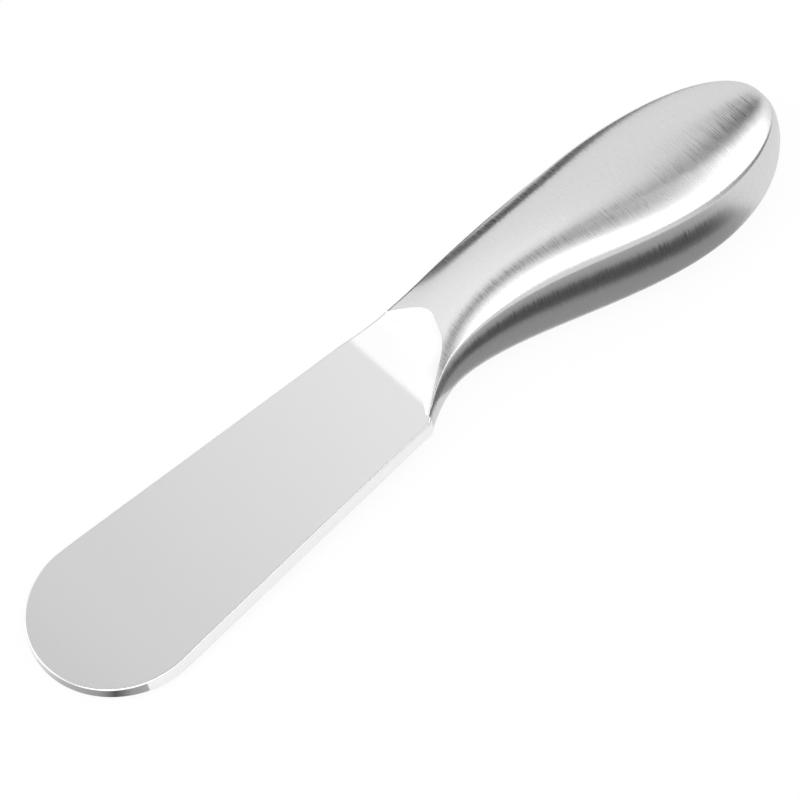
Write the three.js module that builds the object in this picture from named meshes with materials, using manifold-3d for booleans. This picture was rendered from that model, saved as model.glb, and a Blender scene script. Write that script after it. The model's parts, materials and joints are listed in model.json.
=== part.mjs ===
// Stainless steel spreader for butter and soft cheese, with a hollow handle. Millimetres, +Z up.
//
// The blade is forged and ground, and runs on as a plate and a tang into the handle. The handle is
// two pressed half shells, seam welded along their mid plane and welded to the blade at the mouth.
// Resin beds the tang inside. All welds are dressed, so the spreader reads as one form.
//
// Everything is first drawn with the blade level: x = 0 at the blade's shoulder, the tip towards -x
// and the butt towards +x, y positive towards the straight spine side, z = 0 on the mid plane.
// At the end the whole spreader is laid on a table, where it rests on its tip and its belly.

import * as THREE from "three";
import { mergeVertices } from "three/addons/utils/BufferGeometryUtils.js";
import Module from "manifold-3d";

// Blade
const BLADE_LENGTH = 60.5; // tip to shoulder
const TIP_RADIUS = 12.5; // the round end
const SHOULDER_WIDTH = 18.2; // where the blade ends and the neck begins
const BLADE_THICKNESS = 2.6;
const TIP_THICKNESS = 1.7; // the last stretch is ground thinner
const TIP_TAPER = 18; // length of that stretch
const EDGE_CHAMFER = 0.2; // broken edge all round the blade
const GRIND_FROM_SHOULDER = 1.7; // the blade's flat grind stops here
const RAMP_RISE = 1.5; // a hollow ramp climbs this far on each face, from there to the handle
const RAMP_POWER = 3.5; // 1 is a straight ramp, more is hollower

// Handle, in plan
const HANDLE_LENGTH = 66; // shoulder to butt
const NECK_FROM_SHOULDER = 11.5; // narrowest place
const NECK_WIDTH = 13;
const NECK_OFFSET = 1.8; // middle of the neck, towards the spine
const BELLY_WIDTH = 21.3;
const BELLY_OFFSET = -3.05; // middle of the belly and the butt, away from the spine
const SPINE_ROUND = 28.7; // length of the butt's curve on the spine side
const BELLY_ROUND = 16.2; // and on the belly side

// Handle, in height
const RISE_SPINE = 6.5; // the handle's two sides begin to rise here, from the shoulder
const RISE_BELLY = 0.8;
const RISE_WALL = 3.4; // side wall between its two creases, where it begins to rise
const WALL_HEIGHT = 11; // and where it is deepest
const DEEPEST_FROM_BUTT = 32;
const BUTT_WALL = 4.4; // side wall at the very butt
const WALL_TUCK = 0.5; // how far the creases stand inside the mid plane's outline
const MOUTH_TUCK = 0.2; // and how far at the mouth
const TUCK_GROWS = 0.12; // share of the handle's length over which that grows
const CROWN = 2.2; // rise of each broad face above its creases
const CROWN_POWER = 2.6; // 2 is a parabola, more is flatter in the middle

// Mouth of the handle, an arch cut out of its broad faces over the blade's plate
const MOUTH_SPINE = 7.8; // its two feet, from the shoulder
const MOUTH_BELLY = 0.8;
const MOUTH_ARCH = 6.8; // depth of the arch
const MOUTH_SKEW = -0.12; // leans the arch, here towards the belly
const SPINE_FULLNESS = 1.95; // of the arch's two legs: 2 is a parabola, more is fuller
const BELLY_FULLNESS = 5.7;

// Hidden construction
const SHELL_THICKNESS = 0.8;
const SEAM_WELD_WIDTH = 0.6;
const NECK_WELD_REACH = 3; // the dressed fillet reaches its height times this in front of the lip
const NECK_WELD_TOE = 0.12; // its toe is left this thick
const NECK_WELD_HOLLOW = 1.5; // 1 is a straight fillet, more is hollower
const TANG_LENGTH = 30; // beyond the plate
const TANG_WIDTH = 7;
const TANG_TAPER = 2; // width lost towards the tang's end
const TANG_ROOT = 1; // how far the tang is rooted in the plate
const PLATE_UNDERLAP = 1; // how far the plate's tongue reaches in past the arch
const TONGUE_BEYOND = 3; // the shell's inside stays clear of the tongue this far beyond it
const LIP_THICKNESS = 0.2; // and thins the shell down to this where the mouth is lowest
const RESIN_COVER = 3; // resin beyond the tang's end

// Clearances
const FIT_CLEARANCE = 0.3; // tang in resin, resin in shells
const WELD_GAP = 0.1; // between weld metal and what it joins
const LIP_CLEARANCE = 0.25; // between the shell's lip and the plate below it

// Fineness of the curved skins
const STATIONS = 36;
const WALL_STEPS = 3;
const CROWN_STEPS = 20;
const TIP_STEPS = 18;
const TAPER_STEPS = 3;
const PLATE_STEPS = 8;
const FILLET_STEPS = 4;
const RESIN_STEPS = 10;
const BISECTIONS = 30;
const MERGE_DISTANCE = 1e-4;

const { lerp, clamp } = THREE.MathUtils;
const SPINE = 1;
const BELLY = -1;

const wasm = await Module();
wasm.setup();

// Laws of the form

const easeInOut = (u) => u * u * (3 - 2 * u);
const quarterSine = (u) => Math.sin((u * Math.PI) / 2);
const quarterEllipse = (u) => Math.sqrt(Math.max(0, 1 - u * u));

const RISE = { [SPINE]: RISE_SPINE, [BELLY]: RISE_BELLY };
const BUTT_ROUND = { [SPINE]: SPINE_ROUND, [BELLY]: BELLY_ROUND };

// y of one edge of the neck and handle at x, drawn in by an inset all round
function edgeY(side, x, inset = 0) {
  const shoulder = side * (SHOULDER_WIDTH / 2 - inset);
  const neck = NECK_OFFSET + side * (NECK_WIDTH / 2 - inset);
  const belly = BELLY_OFFSET + side * (BELLY_WIDTH / 2 - inset);
  const roundStart = HANDLE_LENGTH - BUTT_ROUND[side];
  if (x < NECK_FROM_SHOULDER) {
    const toNeck = 1 - x / NECK_FROM_SHOULDER;
    return lerp(neck, shoulder, toNeck * toNeck);
  }
  if (x < roundStart) {
    return lerp(neck, belly, easeInOut((x - NECK_FROM_SHOULDER) / (roundStart - NECK_FROM_SHOULDER)));
  }
  const toButt = (x - roundStart) / (BUTT_ROUND[side] - inset);
  return lerp(BELLY_OFFSET, belly, quarterEllipse(toButt));
}

// x of the mouth's arch; across is 1 at the spine and -1 at the belly
function mouthX(across) {
  const fullness = across > 0 ? SPINE_FULLNESS : BELLY_FULLNESS;
  const arch = MOUTH_ARCH * (1 - Math.abs(across) ** fullness) * (1 + MOUTH_SKEW * across);
  return lerp(MOUTH_BELLY, MOUTH_SPINE, (across + 1) / 2) + arch;
}

// How far along the handle the mouth is cut: 0 where the sides begin to rise and 1 at the butt
function mouthAlong(across) {
  const start = lerp(RISE_BELLY, RISE_SPINE, (across + 1) / 2);
  return (mouthX(across) - start) / (HANDLE_LENGTH - start);
}

// Steps across gather towards the creases, where the arch turns fastest
const acrossSteps = Array.from({ length: CROWN_STEPS + 1 }, (_, k) => Math.cos((Math.PI * k) / CROWN_STEPS));
const ARCH_PEAK = acrossSteps.reduce((best, across) => (mouthX(across) > mouthX(best) ? across : best));
const ARCH_TOP = mouthX(ARCH_PEAK);
const PLATE_END = ARCH_TOP + PLATE_UNDERLAP;

// Half the thickness of the blade, and of the plate whose hollow ramps lead up to the handle
function plateZ(x) {
  if (x < 0) {
    const fromTip = clamp((x + BLADE_LENGTH) / TIP_TAPER, 0, 1);
    return lerp(TIP_THICKNESS, BLADE_THICKNESS, easeInOut(fromTip)) / 2;
  }
  const onRamp = clamp((x - GRIND_FROM_SHOULDER) / (ARCH_TOP - GRIND_FROM_SHOULDER), 0, 1);
  return BLADE_THICKNESS / 2 + RAMP_RISE * onRamp ** RAMP_POWER;
}

// A height that grows from the start to the handle's deepest place and falls in a round to the butt
const RISE_MIDDLE = (RISE_SPINE + RISE_BELLY) / 2;
const DEEPEST_ALONG = 1 - DEEPEST_FROM_BUTT / (HANDLE_LENGTH - RISE_MIDDLE);
function sideLaw(along, atStart, atDeepest, atButt) {
  if (along < DEEPEST_ALONG) return lerp(atStart, atDeepest, quarterSine(along / DEEPEST_ALONG));
  return lerp(atButt, atDeepest, quarterEllipse((along - DEEPEST_ALONG) / (1 - DEEPEST_ALONG)));
}
const creaseZ = (along) => sideLaw(along, RISE_WALL / 2, WALL_HEIGHT / 2, BUTT_WALL / 2);
const crownRise = (along) => sideLaw(along, 0, CROWN, 0);

const tuck = (along) => lerp(MOUTH_TUCK, WALL_TUCK, easeInOut(clamp(along / TUCK_GROWS, 0, 1)));

// Places in plan on one side of the handle, and between its two creases
function sidePlan(side, along, inset) {
  const x = lerp(RISE[side], HANDLE_LENGTH - inset, along);
  return new THREE.Vector2(x, edgeY(side, x, inset));
}
function facePlan(along, across, inset) {
  const [belly, spine] = [BELLY, SPINE].map((side) => sidePlan(side, along, inset + tuck(along)));
  return belly.lerp(spine, (across + 1) / 2);
}

// One cross section of the handle's upper half, from the spine's mid plane over to the belly's,
// taken at a place along the handle that may differ across it.
// An inner skin is drawn in by an inset, and a floor keeps it above the plate.
function upperSection(alongAt, inset, lowest, floor = () => lowest) {
  const point = ({ x, y }, z) => {
    return new THREE.Vector3(x, y, Math.max(z - inset, Math.min(floor(x), z - LIP_THICKNESS)));
  };
  const wall = (side, step) => {
    const up = step / WALL_STEPS;
    const along = alongAt(side);
    const plan = sidePlan(side, along, inset + tuck(along) * up * up);
    const top = point(plan, creaseZ(along));
    return top.setZ(lerp(lowest, top.z, up));
  };
  const face = acrossSteps.map((across) => {
    const along = alongAt(across);
    const crown = crownRise(along) * (1 - Math.abs(across) ** CROWN_POWER);
    return point(facePlan(along, across, inset), creaseZ(along) + crown);
  });
  const rows = Array.from({ length: WALL_STEPS }, (_, step) => step);
  const spineWall = rows.map((step) => wall(SPINE, step));
  const bellyWall = rows.map((step) => wall(BELLY, step)).reverse();
  return [...spineWall, ...face, ...bellyWall];
}

// Stations run from the mouth and gather towards the butt, where the handle turns fastest
const stations = Array.from({ length: STATIONS + 1 }, (_, k) => {
  return (across) => lerp(mouthAlong(across), 1, quarterSine(k / STATIONS));
});

// Building closed geometry

// Four-cornered patches become triangles;
// corners that meet are merged, and collapsed triangles dropped
function closedGeometry(patches) {
  const corners = patches.flatMap(([a, b, c, d]) => (d ? [a, b, c, a, c, d] : [a, b, c]));
  const loose = new THREE.BufferGeometry().setFromPoints(corners);
  const merged = mergeVertices(loose, MERGE_DISTANCE);
  const index = Array.from(merged.index.array);
  const kept = [];
  for (let k = 0; k < index.length; k += 3) {
    const [a, b, c] = index.slice(k, k + 3);
    if (a !== b && b !== c && c !== a) kept.push(a, b, c);
  }
  merged.setIndex(kept);
  return merged;
}

// Loops of points joined in order and closed at both ends by fans from their middles.
// A first loop whose two sides lie on each other closes by itself.
function loft(loops, closedStart = false) {
  const patches = [];
  const count = loops[0].length;
  const last = loops.length - 1;
  const middle = (loop) => loop.reduce((sum, p) => sum.add(p), new THREE.Vector3()).divideScalar(count);
  const ends = [middle(loops[0]), middle(loops[last])];
  for (let k = 0; k < count; k++) {
    const next = (k + 1) % count;
    for (let i = 0; i < last; i++) {
      patches.push([loops[i][k], loops[i + 1][k], loops[i + 1][next], loops[i][next]]);
    }
    if (!closedStart) patches.push([ends[0], loops[0][k], loops[0][next]]);
    patches.push([ends[1], loops[last][next], loops[last][k]]);
  }
  return facingOut(closedGeometry(patches));
}

function signedVolume(geometry) {
  const p = geometry.attributes.position;
  const [a, b, c] = [0, 1, 2].map(() => new THREE.Vector3());
  const index = geometry.index.array;
  let volume = 0;
  for (let k = 0; k < index.length; k += 3) {
    a.fromBufferAttribute(p, index[k]);
    b.fromBufferAttribute(p, index[k + 1]);
    c.fromBufferAttribute(p, index[k + 2]);
    volume += a.dot(b.cross(c)) / 6;
  }
  return volume;
}

function facingOut(geometry) {
  if (signedVolume(geometry) < 0) geometry.index.array.reverse();
  return geometry;
}

// The same piece on the other side of the mid plane
const mirrored = (geometry) => facingOut(geometry.clone().scale(1, 1, -1));

function toManifold(geometry) {
  const bare = geometry.clone();
  bare.deleteAttribute("normal");
  bare.deleteAttribute("uv");
  const merged = mergeVertices(bare, MERGE_DISTANCE);
  return new wasm.Manifold(
    new wasm.Mesh({
      numProp: 3,
      vertProperties: new Float32Array(merged.attributes.position.array),
      triVerts: new Uint32Array(merged.index.array),
    }),
  );
}

function fromManifold(solid) {
  const mesh = solid.getMesh();
  const geometry = new THREE.BufferGeometry();
  geometry.setAttribute("position", new THREE.BufferAttribute(mesh.vertProperties, 3));
  geometry.setIndex(new THREE.BufferAttribute(mesh.triVerts, 1));
  return geometry;
}

// Pieces

const CHAMFERED = { inset: EDGE_CHAMFER, lowered: 0 };
const WALLED = { inset: 0, lowered: EDGE_CHAMFER };

// One section of the blade and its plate, with broken edges;
// the place gives [x, y] of an edge drawn in
function bladeSection(place, half) {
  const corner = (side, { inset, lowered }, up) => {
    return new THREE.Vector3(...place(side, inset), up * (half - lowered));
  };
  return [
    corner(SPINE, CHAMFERED, 1),
    corner(SPINE, WALLED, 1),
    corner(SPINE, WALLED, -1),
    corner(SPINE, CHAMFERED, -1),
    corner(BELLY, CHAMFERED, -1),
    corner(BELLY, WALLED, -1),
    corner(BELLY, WALLED, 1),
    corner(BELLY, CHAMFERED, 1),
  ];
}

// The blade: a round tip that is ground thinner, then straight edges tangent to it
function bladeSections() {
  const tipX = TIP_RADIUS - BLADE_LENGTH;
  const half = SHOULDER_WIDTH / 2;
  const tangent = Math.atan2(half, -tipX) + Math.acos(TIP_RADIUS / Math.hypot(tipX, half));
  const [tangentX, tangentY] = [tipX + TIP_RADIUS * Math.cos(tangent), TIP_RADIUS * Math.sin(tangent)];
  const round = Array.from({ length: TIP_STEPS + 1 }, (_, k) => {
    const angle = lerp(Math.PI, tangent, k / TIP_STEPS);
    const place = (side, inset) => {
      const radius = TIP_RADIUS - inset;
      return [tipX + radius * Math.cos(angle), side * radius * Math.sin(angle)];
    };
    return bladeSection(place, plateZ(tipX + TIP_RADIUS * Math.cos(angle)));
  });
  const taperEnd = TIP_TAPER - BLADE_LENGTH;
  const places = Array.from({ length: TAPER_STEPS }, (_, k) => {
    return lerp(tangentX, taperEnd, (k + 1) / TAPER_STEPS);
  });
  const straight = places.map((x) => {
    const width = lerp(tangentY, half, (x - tangentX) / -tangentX);
    return bladeSection((side, inset) => [x, side * (width - inset)], plateZ(x));
  });
  return [...round, ...straight];
}

// y of the plate's edges inside the handle, where its tongue follows the arch at its underlap
const lipY = (across) => facePlan(mouthAlong(across), across, 0).y;
function tongueY(side, x) {
  let [reached, missed] = [ARCH_PEAK, side];
  for (let k = 0; k < BISECTIONS; k++) {
    const between = (reached + missed) / 2;
    if (mouthX(between) + PLATE_UNDERLAP > x) reached = between;
    else missed = between;
  }
  const inner = edgeY(side, x, SHELL_THICKNESS + WALL_TUCK + LIP_CLEARANCE);
  return side === SPINE ? Math.min(lipY(reached), inner) : Math.max(lipY(reached), inner);
}

// The plate thickens from the shoulder to the mouth, steps in there and runs on between the shells
function plateSections() {
  const stepAt = { [SPINE]: MOUTH_SPINE - WELD_GAP, [BELLY]: MOUTH_BELLY - WELD_GAP };
  const even = Array.from({ length: PLATE_STEPS + 1 }, (_, k) => (PLATE_END * k) / PLATE_STEPS);
  const places = [...even, GRIND_FROM_SHOULDER, ARCH_TOP, stepAt[SPINE], stepAt[BELLY]];
  const section = (x, isPast) => {
    const place = (side, inset) => {
      const y = isPast(x, stepAt[side]) ? tongueY(side, x) - side * inset : edgeY(side, x, inset);
      return [x, y];
    };
    return bladeSection(place, plateZ(x));
  };
  return places
    .sort((a, b) => a - b)
    .flatMap((x) => {
      const before = section(x, (here, step) => here > step);
      const after = section(x, (here, step) => here >= step);
      const isStep = x === stepAt[SPINE] || x === stepAt[BELLY];
      return isStep ? [before, after] : [before];
    });
}

const TANG_END = PLATE_END + TANG_LENGTH;

// The tang, or the slot for it when grown by a clearance
function tang(grown = 0) {
  const root = PLATE_END - TANG_ROOT;
  const section = (x, width) => {
    const half = width / 2 + grown;
    const thick = BLADE_THICKNESS / 2 + grown;
    const corners = [
      [half, thick],
      [half, -thick],
      [-half, -thick],
      [-half, thick],
    ];
    return corners.map(([y, z]) => new THREE.Vector3(x, NECK_OFFSET + y, z));
  };
  return loft([section(root, TANG_WIDTH), section(TANG_END + grown, TANG_WIDTH - TANG_TAPER)]);
}

function blade() {
  const body = loft([...bladeSections(), ...plateSections()], true);
  return fromManifold(toManifold(body).add(toManifold(tang())));
}

// Skins of the upper half shell;
// the inner one stays above the plate that reaches in through the mouth
const SEAM_Z = SEAM_WELD_WIDTH / 2;
const outerSkin = stations.map((alongAt) => upperSection(alongAt, 0, SEAM_Z));
const overPlate = (x) => (x > PLATE_END + TONGUE_BEYOND ? SEAM_Z : plateZ(x) + LIP_CLEARANCE);
const innerSkin = stations.map((alongAt) => upperSection(alongAt, SHELL_THICKNESS, SEAM_Z, overPlate));

// Half shell: both skins, the rim on the seam and the edge of the mouth
function upperShell() {
  const [outer, inner] = [outerSkin, innerSkin];
  const patches = [];
  const lastColumn = outer[0].length - 1;
  for (let j = 0; j < lastColumn; j++) {
    for (let i = 0; i < STATIONS; i++) {
      patches.push([outer[i][j], outer[i][j + 1], outer[i + 1][j + 1], outer[i + 1][j]]);
      patches.push([inner[i][j], inner[i + 1][j], inner[i + 1][j + 1], inner[i][j + 1]]);
    }
    patches.push([outer[0][j + 1], outer[0][j], inner[0][j], inner[0][j + 1]]);
  }
  for (let i = 0; i < STATIONS; i++) {
    const j = lastColumn;
    patches.push([outer[i][0], outer[i + 1][0], inner[i + 1][0], inner[i][0]]);
    patches.push([outer[i + 1][j], outer[i][j], inner[i][j], inner[i + 1][j]]);
  }
  return facingOut(closedGeometry(patches));
}

// Weld bead between the two rims, from one foot of the mouth round the butt to the other
function seamWeld() {
  const loop = (side, along) => {
    const out = sidePlan(side, along, 0);
    const inside = sidePlan(side, along, SHELL_THICKNESS);
    return [
      new THREE.Vector3(out.x, out.y, -SEAM_Z),
      new THREE.Vector3(out.x, out.y, SEAM_Z),
      new THREE.Vector3(inside.x, inside.y, SEAM_Z),
      new THREE.Vector3(inside.x, inside.y, -SEAM_Z),
    ];
  };
  const out = stations.map((alongAt) => loop(SPINE, alongAt(SPINE)));
  const back = stations.slice(0, -1).reverse().map((alongAt) => loop(BELLY, alongAt(BELLY)));
  return loft([...out, ...back]);
}

// Dressed fillet weld along the arch, a hollow curve from under the shell's lip down to the plate
function upperNeckWeld() {
  const onPlate = (x, y, above = 0) => new THREE.Vector3(x, y, plateZ(x) + WELD_GAP + above);
  const lips = innerSkin[0].slice(WALL_STEPS + 1, WALL_STEPS + CROWN_STEPS);
  const shares = Array.from({ length: FILLET_STEPS }, (_, step) => (step + 1) / FILLET_STEPS);
  const loops = lips.map((lip) => {
    const back = lip.clone().setX(lip.x - WELD_GAP);
    const heel = onPlate(back.x, back.y);
    const height = back.z - heel.z;
    const xAt = (share) => back.x - NECK_WELD_REACH * height * share;
    const curve = shares.map((share) => {
      const left = lerp(NECK_WELD_TOE, height, (1 - share) ** NECK_WELD_HOLLOW);
      return onPlate(xAt(share), back.y, left);
    });
    const sole = shares.map((share) => onPlate(xAt(share), back.y)).reverse();
    return [back, ...curve, ...sole, heel];
  });
  return loft(loops);
}

// Resin that fills the front of the hollow and beds the tang
function tangResin() {
  const inset = SHELL_THICKNESS + FIT_CLEARANCE;
  const middleAlong = (x) => (x - RISE_MIDDLE) / (HANDLE_LENGTH - RISE_MIDDLE);
  const start = middleAlong(PLATE_END + FIT_CLEARANCE + (RISE_SPINE - RISE_BELLY) / 2);
  const end = middleAlong(TANG_END + RESIN_COVER);
  const loops = Array.from({ length: RESIN_STEPS + 1 }, (_, k) => {
    const upper = upperSection(() => lerp(start, end, k / RESIN_STEPS), inset, 0);
    const lower = upper.slice(1, -1).reverse().map((p) => new THREE.Vector3(p.x, p.y, -p.z));
    return [...upper, ...lower];
  });
  const slot = toManifold(tang(FIT_CLEARANCE));
  return fromManifold(toManifold(loft(loops)).subtract(slot));
}

// Materials and assembly

const finish = (color, roughness, metalness) => {
  return new THREE.MeshStandardMaterial({ color, roughness, metalness });
};
const satinSteel = finish("#d6d7d8", 0.32, 1);
const brushedSteel = finish("#c9cacb", 0.36, 1);
const weldSteel = finish("#cccdce", 0.34, 1);
const greyResin = finish("#6f6c66", 0.8, 0);

function piece(name, geometry, material) {
  geometry.computeVertexNormals();
  const mesh = new THREE.Mesh(geometry, material);
  mesh.name = name;
  return mesh;
}

const shell = upperShell();
const neckWeld = upperNeckWeld();

const spreader = new THREE.Group();
spreader.add(
  piece("blade", blade(), satinSteel),
  piece("handle_upper_shell", shell, brushedSteel),
  piece("handle_lower_shell", mirrored(shell), brushedSteel),
  piece("handle_seam_weld", seamWeld(), brushedSteel),
  piece("neck_weld_upper", neckWeld, weldSteel),
  piece("neck_weld_lower", mirrored(neckWeld), weldSteel),
  piece("tang_resin", tangResin(), greyResin),
);

// Rest on a table

// The longest straight edge of the outline seen from the side, from below: the table's line
function tableLine(group) {
  const seen = [];
  for (const { geometry } of group.children) {
    const p = geometry.attributes.position;
    for (let k = 0; k < p.count; k++) seen.push(new THREE.Vector2(p.getX(k), p.getZ(k)));
  }
  seen.sort((a, b) => a.x - b.x || a.y - b.y);
  const below = [];
  for (const p of seen) {
    while (below.length > 1) {
      const [a, b] = below.slice(-2);
      if ((b.x - a.x) * (p.y - a.y) - (b.y - a.y) * (p.x - a.x) > 0) break;
      below.pop();
    }
    below.push(p);
  }
  const edges = below.slice(1).map((end, k) => end.clone().sub(below[k]));
  return edges.reduce((longest, edge) => (edge.length() > longest.length() ? edge : longest));
}

const part = new THREE.Group();
const table = tableLine(spreader);
spreader.rotation.y = Math.atan2(table.y, table.x);
part.add(spreader);
part.updateMatrixWorld(true);
const box = new THREE.Box3().setFromObject(part, true);
const middle = box.getCenter(new THREE.Vector3());
spreader.position.set(-middle.x, -middle.y, -box.min.z);
part.updateMatrixWorld(true);

export default part;
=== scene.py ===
# %% [markdown]
# # A stainless spreader with a hollow handle
# The spreader is a flat blade with a round tip and a sculpted hollow handle, all of stainless
# steel. Its solids are already built and packed, in metres. Here each visible piece is made again
# with finer curves, and gets the finish that its real metal has: ground, polished, brushed or
# dressed.

# %% Load the solids
import json
import math

import bmesh
import bpy
from mathutils import Matrix, Vector

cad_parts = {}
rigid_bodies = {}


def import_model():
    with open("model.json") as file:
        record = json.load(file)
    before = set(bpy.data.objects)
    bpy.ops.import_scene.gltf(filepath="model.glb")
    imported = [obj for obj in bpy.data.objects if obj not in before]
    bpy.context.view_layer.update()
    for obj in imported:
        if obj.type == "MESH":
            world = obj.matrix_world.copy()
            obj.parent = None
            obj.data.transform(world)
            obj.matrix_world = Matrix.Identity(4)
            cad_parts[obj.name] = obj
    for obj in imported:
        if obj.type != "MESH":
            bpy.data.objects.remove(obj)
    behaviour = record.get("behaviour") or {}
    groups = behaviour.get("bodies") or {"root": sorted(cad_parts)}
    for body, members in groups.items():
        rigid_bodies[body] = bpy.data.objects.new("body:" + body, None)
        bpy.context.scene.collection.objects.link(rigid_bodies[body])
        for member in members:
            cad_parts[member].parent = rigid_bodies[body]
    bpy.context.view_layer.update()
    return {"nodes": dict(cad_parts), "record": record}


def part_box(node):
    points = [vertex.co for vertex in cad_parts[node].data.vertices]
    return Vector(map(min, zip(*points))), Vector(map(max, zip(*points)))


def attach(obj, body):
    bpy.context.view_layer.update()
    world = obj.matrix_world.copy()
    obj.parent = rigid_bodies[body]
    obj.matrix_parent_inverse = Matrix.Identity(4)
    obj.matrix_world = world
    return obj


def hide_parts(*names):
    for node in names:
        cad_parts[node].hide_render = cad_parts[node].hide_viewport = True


for leftover in list(bpy.data.objects):
    bpy.data.objects.remove(leftover)
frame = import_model()
print("solids:", ", ".join(sorted(frame["nodes"])))

# %% [markdown]
# ## The drawing and its sizes
# The spreader is drawn level, in millimetres: x = 0 at the blade's shoulder, the tip towards -x,
# the butt towards +x, y positive towards the straight spine side, and z = 0 on the mid plane. The
# sizes are those of the solids, so every piece ends up where its solid is.

# %% Sizes of the drawing
MM = 0.001
SPINE, BELLY = 1, -1

BLADE_LENGTH = 60.5
TIP_RADIUS = 12.5
SHOULDER_WIDTH = 18.2
BLADE_THICKNESS = 2.6
TIP_THICKNESS = 1.7
TIP_TAPER = 18.0
EDGE_BREAK = 0.2
GRIND_FROM_SHOULDER = 1.7
RAMP_RISE = 1.5
RAMP_POWER = 3.5

HANDLE_LENGTH = 66.0
NECK_FROM_SHOULDER = 11.5
NECK_WIDTH = 13.0
NECK_OFFSET = 1.8
BELLY_WIDTH = 21.3
BELLY_OFFSET = -3.05
SPINE_ROUND = 28.7
BELLY_ROUND = 16.2

RISE_SPINE = 6.5
RISE_BELLY = 0.8
RISE_WALL = 3.4
WALL_HEIGHT = 11.0
DEEPEST_FROM_BUTT = 32.0
BUTT_WALL = 4.4
WALL_TUCK = 0.5
MOUTH_TUCK = 0.2
TUCK_GROWS = 0.12
CROWN = 2.2
CROWN_POWER = 2.6

MOUTH_SPINE = 7.8
MOUTH_BELLY = 0.8
MOUTH_ARCH = 6.8
MOUTH_SKEW = -0.12
SPINE_FULLNESS = 1.95
BELLY_FULLNESS = 5.7

SHELL_THICKNESS = 0.8
SEAM_HALF = 0.3
LIP_CLEARANCE = 0.25
LIP_THICKNESS = 0.2
PLATE_UNDERLAP = 1.0
TONGUE_BEYOND = 3.0
print(f"drawn length: {BLADE_LENGTH + HANDLE_LENGTH} mm")

# %% [markdown]
# ## From the drawing to the table
# At rest the spreader lies on its tip and its belly, so the drawing is turned a little about y and
# moved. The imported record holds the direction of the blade's upper face, and the blade's box holds
# its tip. Those two give the turn and the place, with nothing to fit by eye.

# %% Where the drawing lies
upper_face = next(m for m in frame["record"]["mounts"] if m["name"] == "blade_upper_face")
face_normal = Vector(upper_face["axis"])
face_point = Vector(upper_face["pos_m"])
TILT = math.atan2(face_normal.x, face_normal.z)
blade_low, blade_high = (Vector(corner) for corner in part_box("blade"))
tip_wall_half = TIP_THICKNESS / 2 - EDGE_BREAK
shoulder = Vector()
shoulder.x = blade_low.x + MM * (BLADE_LENGTH * math.cos(TILT) - tip_wall_half * math.sin(TILT))
shoulder.y = (blade_low.y + blade_high.y) / 2
above_shoulder = (face_point.x - shoulder.x) * face_normal.x - MM * BLADE_THICKNESS / 2
shoulder.z = face_point.z + above_shoulder / face_normal.z
turn = Matrix.Rotation(TILT, 4, "Y")
lay_down = Matrix.Translation(shoulder) @ turn @ Matrix.Scale(MM, 4)
shoulder_in_mm = [round(c / MM, 3) for c in shoulder]
print(f"tilt {math.degrees(TILT):.3f} degrees, shoulder at {shoulder_in_mm} mm")

# %% [markdown]
# ## The camera
# A picture taken from far away with a long lens has almost no perspective, so its camera is three
# directions and a scale: which way is right, which way is down, and how many pixels a millimetre
# takes. They were fitted to the outline of the spreader. An orthographic camera would come close,
# but a long lens from a few metres off keeps the little perspective that there is.

# %% Set up the camera
PICTURE_WIDTH = 800
PIXELS_PER_MM = 7.523
SHOULDER_PIXEL = (385.7, 390.3)
CAMERA_DISTANCE = 3000.0
CLIP_END = 100.0
SENSOR_WIDTH = 36.0
picture_right = Vector((0.73654, -0.66130, -0.14209))
picture_down = Vector((-0.61715, -0.57106, -0.54130))
to_camera = picture_right.cross(-picture_down)

to_middle = [(PICTURE_WIDTH / 2 - pixel) / PIXELS_PER_MM for pixel in SHOULDER_PIXEL]
aim = picture_right * to_middle[0] + picture_down * to_middle[1]
axes = Matrix((picture_right, -picture_down, to_camera)).transposed().to_4x4()
camera_data = bpy.data.cameras.new("long_lens")
camera_data.sensor_width = SENSOR_WIDTH
camera_data.lens = PIXELS_PER_MM * CAMERA_DISTANCE * SENSOR_WIDTH / PICTURE_WIDTH
camera_data.clip_end = CLIP_END
camera = bpy.data.objects.new("camera", camera_data)
place = Matrix.Translation(lay_down @ (aim + to_camera * CAMERA_DISTANCE))
camera.matrix_world = place @ turn @ axes
bpy.context.collection.objects.link(camera)
bpy.context.scene.camera = camera
bpy.context.scene.view_settings.view_transform = "Standard"
print(f"lens {camera_data.lens:.0f} mm")

# %% [markdown]
# ## One helper for every node
# Materials and forms below are both node trees. One function adds a node, sets it up and links it.
# Written out, each node would take four or five lines. An input may be a number, a socket or
# another node, whose first output is then used.

# %% Add a node
def add(tree, kind, inputs=(), **settings):
    node = tree.nodes.new(kind)
    for name, value in settings.items():
        setattr(node, name, value)
    shown = [socket for socket in node.inputs if socket.enabled]
    pairs = list(zip(shown, inputs))
    if isinstance(inputs, dict):
        named = {socket.name: socket for socket in shown}
        pairs = [(named[name], value) for name, value in inputs.items()]
    for socket, value in pairs:
        if isinstance(value, bpy.types.Node):
            value = next(output for output in value.outputs if output.enabled)
        if isinstance(value, bpy.types.NodeSocket):
            tree.links.new(value, socket)
        else:
            socket.default_value = value
    return node


MATH, MAP, MIX = "ShaderNodeMath", "ShaderNodeMapRange", "ShaderNodeMix"
VECTOR, NOISE = "ShaderNodeVectorMath", "ShaderNodeTexNoise"
COMBINE, SEPARATE = "ShaderNodeCombineXYZ", "ShaderNodeSeparateXYZ"
print("short names for", MATH, MAP, MIX, VECTOR, NOISE, COMBINE, SEPARATE)

# %% [markdown]
# ## Colours and places for every material
# A colour is written as the hex value that a screen shows. Shaders count in linear light, so one
# function turns the one into the other. Each material reads Object coordinates, which stay on the
# piece, and a Mapping node turns them back into the drawing's millimetres. So every pattern has a
# real size, and lies along the spreader and not along the table.

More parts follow.
